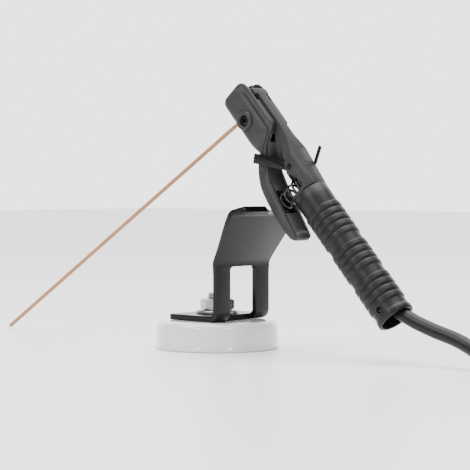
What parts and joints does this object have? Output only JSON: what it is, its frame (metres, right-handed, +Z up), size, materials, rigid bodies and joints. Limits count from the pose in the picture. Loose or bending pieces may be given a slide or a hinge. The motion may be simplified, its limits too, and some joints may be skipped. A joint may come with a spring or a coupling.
{
  "type": "welding electrode holder on magnetic stand",
  "caption": "Tong-type welding electrode holder with a stick electrode and cable, resting in the cradle of a bent-sheet stand with a round magnetic foot.",
  "frame": {"origin": "centre of the magnetic foot's underside, on the surface it stands on", "axes": "+Z up along the foot's stud; +X from the electrode's tip towards the handle's rear; the holder and bracket are symmetric about Y = 0"},
  "size_m": [0.6674, 0.1499, 0.2108],
  "materials": {
    "white_coating": "gloss white coating",
    "ferrite": "matte sintered ferrite",
    "plain_steel": "plain machined",
    "zinc_steel": "bright zinc plated",
    "black_powder_coat": "semi-gloss black powder coat",
    "grip_moulding": "matte dark grey moulding",
    "grey_moulding": "satin grey glass-filled moulding",
    "brass": "cast and machined",
    "black_steel": "blackened steel",
    "spring_steel": "oiled spring steel",
    "electrode_flux": "matte copper-brown coating",
    "cable_rubber": "satin black rubber"
  },
  "bodies": {
    "foot": {"foot_cover": "white_coating", "ferrite_ring": "ferrite", "pole_core": "plain_steel", "stud": "zinc_steel", "washer": "zinc_steel", "nut": "zinc_steel"},
    "bracket": {"bracket": "black_powder_coat", "cable_coil": "cable_rubber", "cable_tail": "cable_rubber", "plug_boot": "cable_rubber", "plug_pin": "brass"},
    "holder": {"grip_sleeve": "grip_moulding", "grip_screw": "black_steel", "body_casing": "grey_moulding", "conductor": "brass", "body_contact": "brass", "contact_screw_1": "zinc_steel", "contact_screw_2": "zinc_steel", "cable_clamp": "brass", "clamp_screw_1": "zinc_steel", "clamp_screw_2": "zinc_steel", "yoke": "black_steel", "yoke_pin": "black_steel", "lever_spring": "spring_steel", "electrode_core": "plain_steel", "electrode_coating": "electrode_flux", "cable": "cable_rubber"},
    "lever": {"lever": "grey_moulding", "lever_contact": "brass", "jaw_screw": "black_steel", "jaw_nut": "zinc_steel"}
  },
  "joints": [
    {"name": "bracket_swivel", "type": "hinge", "parent": "foot", "child": "bracket", "pos_m": [0, 0, 0.0249], "axis": [0, 0, 1], "range_deg": [-30, 30]},
    {"name": "holder_lift", "type": "slide", "parent": "bracket", "child": "holder", "axis": [0, 0, 1], "range_m": [0, 0.04]},
    {"name": "lever_squeeze", "type": "hinge", "parent": "holder", "child": "lever", "pos_m": [0.05048, 0, 0.14974], "axis": [0, -1, 0], "range_deg": [0, 9], "stiffness_Nm_per_rad": 3, "springref_deg": -17.19, "deforming": ["lever_spring"]}
  ]
}
